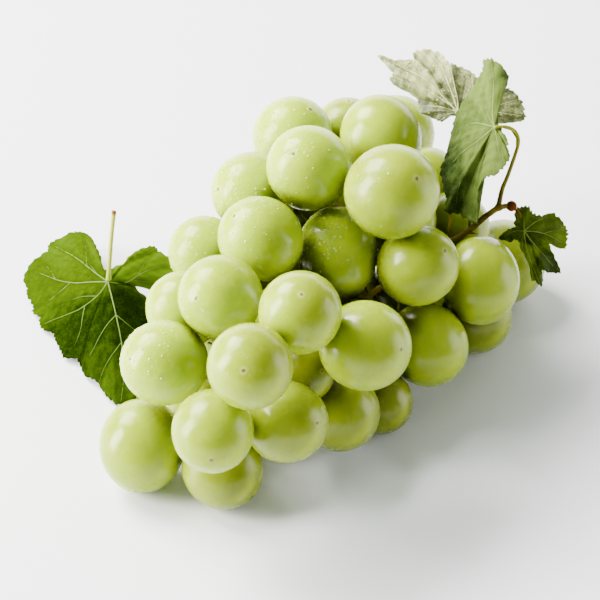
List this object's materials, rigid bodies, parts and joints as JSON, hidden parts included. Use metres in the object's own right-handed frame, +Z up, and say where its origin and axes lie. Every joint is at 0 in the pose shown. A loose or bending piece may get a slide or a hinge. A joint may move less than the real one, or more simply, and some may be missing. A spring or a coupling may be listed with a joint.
{
  "type": "bunch of grapes",
  "caption": "Bunch of large round green table grapes lying on its side, with its cut stalk, side shoots and lobed vine leaves.",
  "frame": {"origin": "middle of the bounding box, on the table that the bunch lies on", "axes": "+Z up, the shortest of the three sides, +Y away from the viewer of the picture, +X to the viewer's right"},
  "size_m": [0.2006, 0.2018, 0.1034],
  "materials": {
    "grape_skin": "satin grape skin with a thin bloom",
    "stalk": "green-brown young wood",
    "petiole": "pale fresh leaf stalk",
    "leaf_left": "matte fresh leaf",
    "leaf_green": "matte fresh leaf",
    "leaf_pale": "downy pale leaf with a wet glare",
    "leaf_small": "glossy dark young leaf"
  },
  "bodies": {
    "root": {"berry_01": "grape_skin", "berry_02": "grape_skin", "berry_03": "grape_skin", "berry_04": "grape_skin", "berry_05": "grape_skin", "berry_06": "grape_skin", "berry_07": "grape_skin", "berry_08": "grape_skin", "berry_09": "grape_skin", "berry_10": "grape_skin", "berry_11": "grape_skin", "berry_12": "grape_skin", "berry_13": "grape_skin", "berry_14": "grape_skin", "berry_15": "grape_skin", "berry_16": "grape_skin", "berry_17": "grape_skin", "berry_18": "grape_skin", "berry_19": "grape_skin", "berry_20": "grape_skin", "berry_21": "grape_skin", "berry_22": "grape_skin", "berry_23": "grape_skin", "berry_24": "grape_skin", "berry_25": "grape_skin", "berry_26": "grape_skin", "berry_27": "grape_skin", "berry_28": "grape_skin", "berry_29": "grape_skin", "berry_30": "grape_skin", "berry_31": "grape_skin", "berry_32": "grape_skin", "berry_33": "grape_skin", "berry_34": "grape_skin", "berry_35": "grape_skin", "berry_36": "grape_skin", "berry_37": "grape_skin", "berry_38": "grape_skin", "berry_39": "grape_skin", "berry_40": "grape_skin", "berry_41": "grape_skin", "berry_42": "grape_skin", "berry_43": "grape_skin", "berry_44": "grape_skin", "berry_45": "grape_skin", "berry_46": "grape_skin", "berry_47": "grape_skin", "stalk": "stalk", "leaf_left": "leaf_left", "petiole_left": "petiole", "leaf_green": "leaf_green", "leaf_pale": "leaf_pale", "leaf_small": "leaf_small"}
  },
  "joints": []
}
